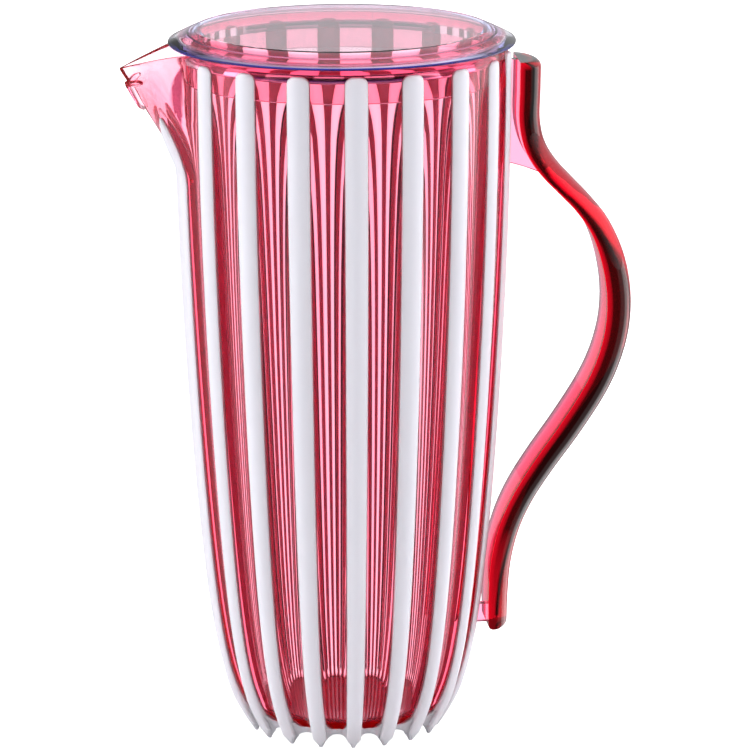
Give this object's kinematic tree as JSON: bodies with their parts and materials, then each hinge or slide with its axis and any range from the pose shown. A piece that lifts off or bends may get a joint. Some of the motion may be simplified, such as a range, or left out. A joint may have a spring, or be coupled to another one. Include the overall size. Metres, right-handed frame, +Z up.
{
  "type": "carafe",
  "caption": "Tall tinted clear carafe in a cage of white ribs that end in pointed feet, with a pulled spout, an S-shaped strap handle and a clear lift-off lid with an ice comb.",
  "frame": {"origin": "on the table under the feet, midway between the tip of the spout and the outside of the handle", "axes": "+Z up along the jug, +X towards the handle, -X towards the spout, -Y towards the viewer of the picture"},
  "size_m": [0.1876, 0.1266, 0.262],
  "materials": {
    "tinted_clear": "clear, tinted pink to crimson, polished",
    "white_plastic": "opaque white, smooth satin gloss",
    "tinted_handle": "clear, tinted crimson, polished",
    "clear_lid": "clear with a faint violet cast, polished",
    "soft_seal": "soft, pale, translucent"
  },
  "bodies": {
    "jug": {"jug_body": "tinted_clear", "rib_cage": "white_plastic", "handle": "tinted_handle"},
    "seal": {"lid_seal": "soft_seal"},
    "lid": {"lid_cover": "clear_lid"}
  },
  "joints": [
    {"name": "lid_lift", "type": "slide", "parent": "jug", "child": "seal", "axis": [0, 0, 1], "range_m": [0, 0.06]},
    {"name": "lid_turn", "type": "hinge", "parent": "seal", "child": "lid", "pos_m": [-0.01246, 0, 0.2524], "axis": [0, 0, 1], "continuous": true}
  ]
}
